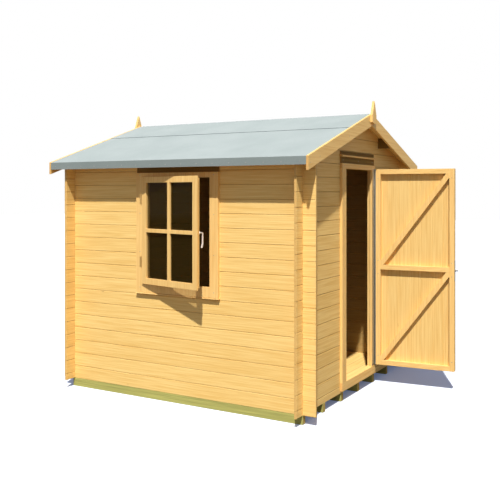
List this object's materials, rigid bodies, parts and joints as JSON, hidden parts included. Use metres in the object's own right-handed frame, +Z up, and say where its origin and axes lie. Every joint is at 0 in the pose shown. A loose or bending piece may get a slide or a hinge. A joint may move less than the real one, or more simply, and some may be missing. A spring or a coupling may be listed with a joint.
{
  "type": "log cabin",
  "caption": "Timber garden cabin of interlocking logs with a felted apex roof, a braced door in the gable, an outward-opening casement window and treated floor bearers.",
  "frame": {"origin": "ground level at the middle of the footprint, on the underside of the middle bearer", "axes": "+Z up; -Y out of the door gable; -X out of the window wall; +X to the right when facing the door"},
  "size_m": [2.5531, 3.1982, 2.522],
  "materials": {
    "log_timber": "planed softwood, unpainted",
    "planed_timber": "planed softwood trim, unpainted",
    "treated_timber": "sawn softwood, green pressure treatment",
    "roofing_felt": "mineral-faced bitumen felt, pale grey-green",
    "glass": "clear",
    "zinc_steel": "zinc plated"
  },
  "bodies": {
    "cabin": {"bargeboards_back": "planed_timber", "bargeboards_front": "planed_timber", "bearer_1": "treated_timber", "bearer_2": "treated_timber", "bearer_3": "treated_timber", "bearer_4": "treated_timber", "bearer_5": "treated_timber", "bearer_6": "treated_timber", "bearer_7": "treated_timber", "door_head": "planed_timber", "door_cover_strip": "planed_timber", "door_hinge": "zinc_steel", "door_jamb_left": "planed_timber", "door_jamb_right": "planed_timber", "drip_strip": "planed_timber", "fascia_blank_side": "planed_timber", "fascia_window_side": "planed_timber", "felt_blank_side": "roofing_felt", "felt_ridge": "roofing_felt", "felt_window_side": "roofing_felt", "finial_back": "planed_timber", "finial_front": "planed_timber", "floor": "log_timber", "front_bottom_log": "log_timber", "purlin_blank_side": "log_timber", "purlin_window_side": "log_timber", "ridge_beam": "log_timber", "roof_boards_blank_side": "log_timber", "roof_boards_window_side": "log_timber", "threshold": "planed_timber", "wall_back": "log_timber", "wall_blank_side": "log_timber", "wall_front_gable": "log_timber", "wall_front_left": "log_timber", "wall_front_right": "log_timber", "wall_window_side": "log_timber", "window_casement": "planed_timber", "window_fastener": "zinc_steel", "window_frame": "planed_timber", "window_glass": "glass", "window_hinges": "zinc_steel", "window_sill": "planed_timber", "window_cover_strip": "planed_timber"},
    "door": {"door_boards": "planed_timber", "door_stiles": "planed_timber", "door_ledges": "planed_timber", "door_braces": "planed_timber", "door_hinge_flap": "zinc_steel", "door_lock": "zinc_steel", "door_pull": "zinc_steel"}
  },
  "joints": [
    {"name": "door_swing", "type": "hinge", "parent": "cabin", "child": "door", "pos_m": [0.3323, -1.173, 0.172], "axis": [0, 0, 1], "range_deg": [-95, 10]}
  ]
}
